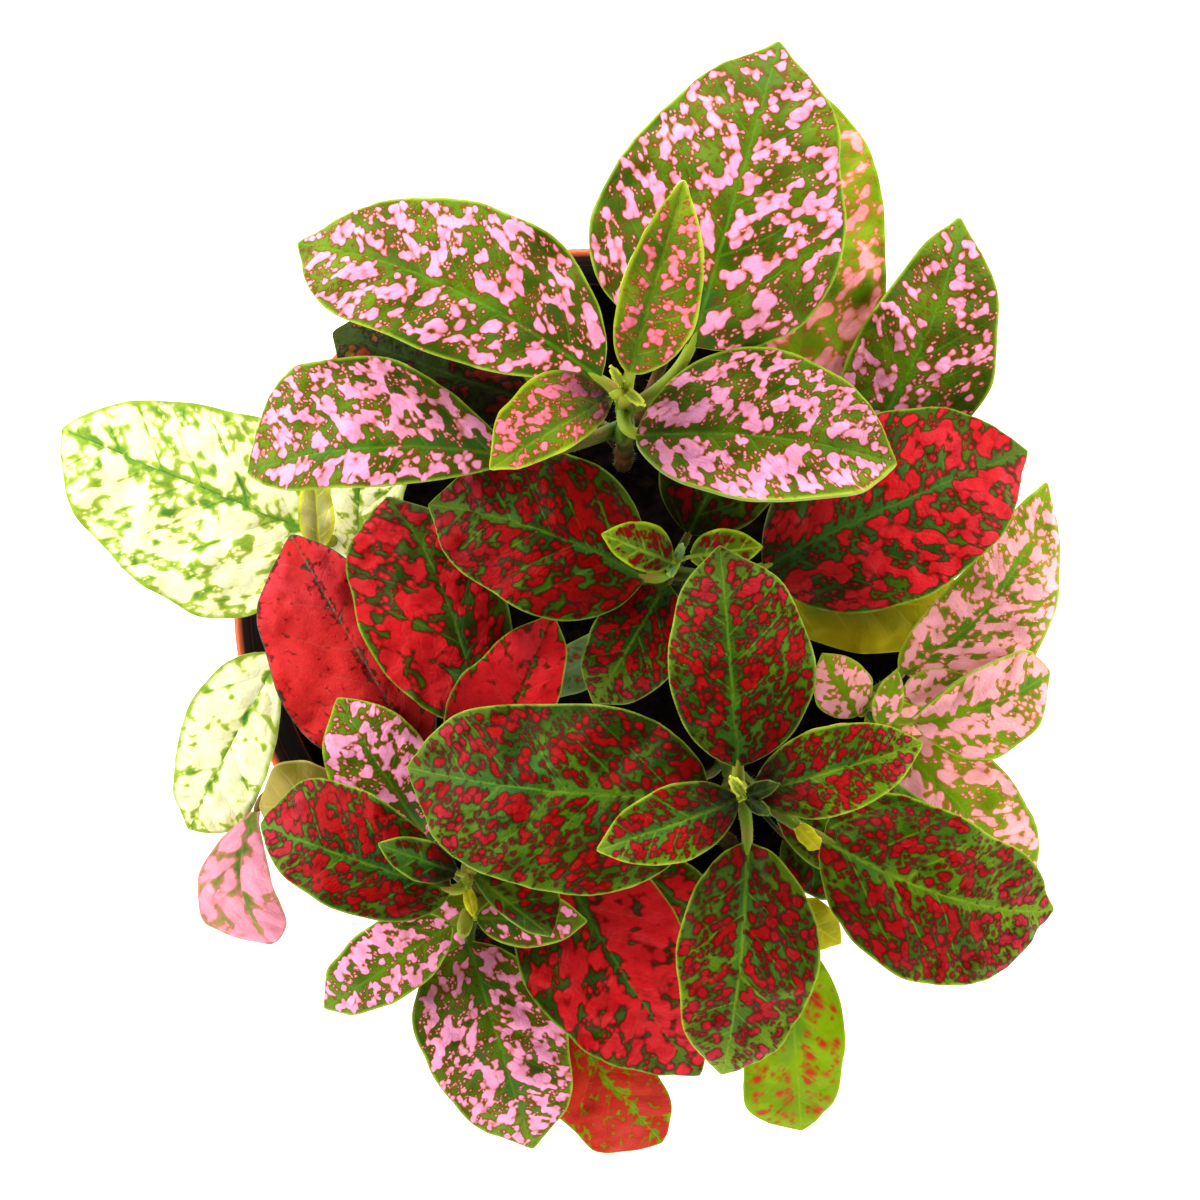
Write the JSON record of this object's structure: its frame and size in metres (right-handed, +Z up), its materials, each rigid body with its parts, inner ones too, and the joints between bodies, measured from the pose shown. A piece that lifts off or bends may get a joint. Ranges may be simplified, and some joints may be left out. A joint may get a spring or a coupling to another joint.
{
  "type": "potted polka dot plant",
  "caption": "Young polka dot plants with pink, red, white and pale pink spotted leaves in a round plastic nursery pot.",
  "frame": {"origin": "centre of the pot's underside, on the flat centre pad", "axes": "+Z up through the middle of the pot; +Y towards the back, which is the top of the picture; +X to the right"},
  "size_m": [0.1638, 0.1776, 0.1925],
  "materials": {
    "pot": "terracotta-coloured polypropylene with a satin sheen",
    "soil": "damp dark peat potting mix",
    "leaf_pink": "soft green leaf with pink spots",
    "leaf_red": "soft green leaf with red spots",
    "leaf_white": "soft creamy white leaf with green flecks",
    "leaf_green": "soft yellow-green leaf with a few red spots",
    "leaf_pale_pink": "soft light green leaf with pale pink patches"
  },
  "bodies": {
    "root": {"pot": "pot", "soil": "soil", "plant_pink_back": "leaf_pink", "plant_pink_back_right": "leaf_pink", "plant_red_centre": "leaf_red", "plant_red_front_right": "leaf_red", "plant_red_left": "leaf_red", "plant_white_left": "leaf_white", "plant_pink_left_front": "leaf_pink", "plant_red_front_left": "leaf_red", "plant_pink_front": "leaf_pink", "plant_red_front": "leaf_red", "plant_green_front": "leaf_green", "plant_pale_pink_right": "leaf_pale_pink"}
  },
  "joints": []
}
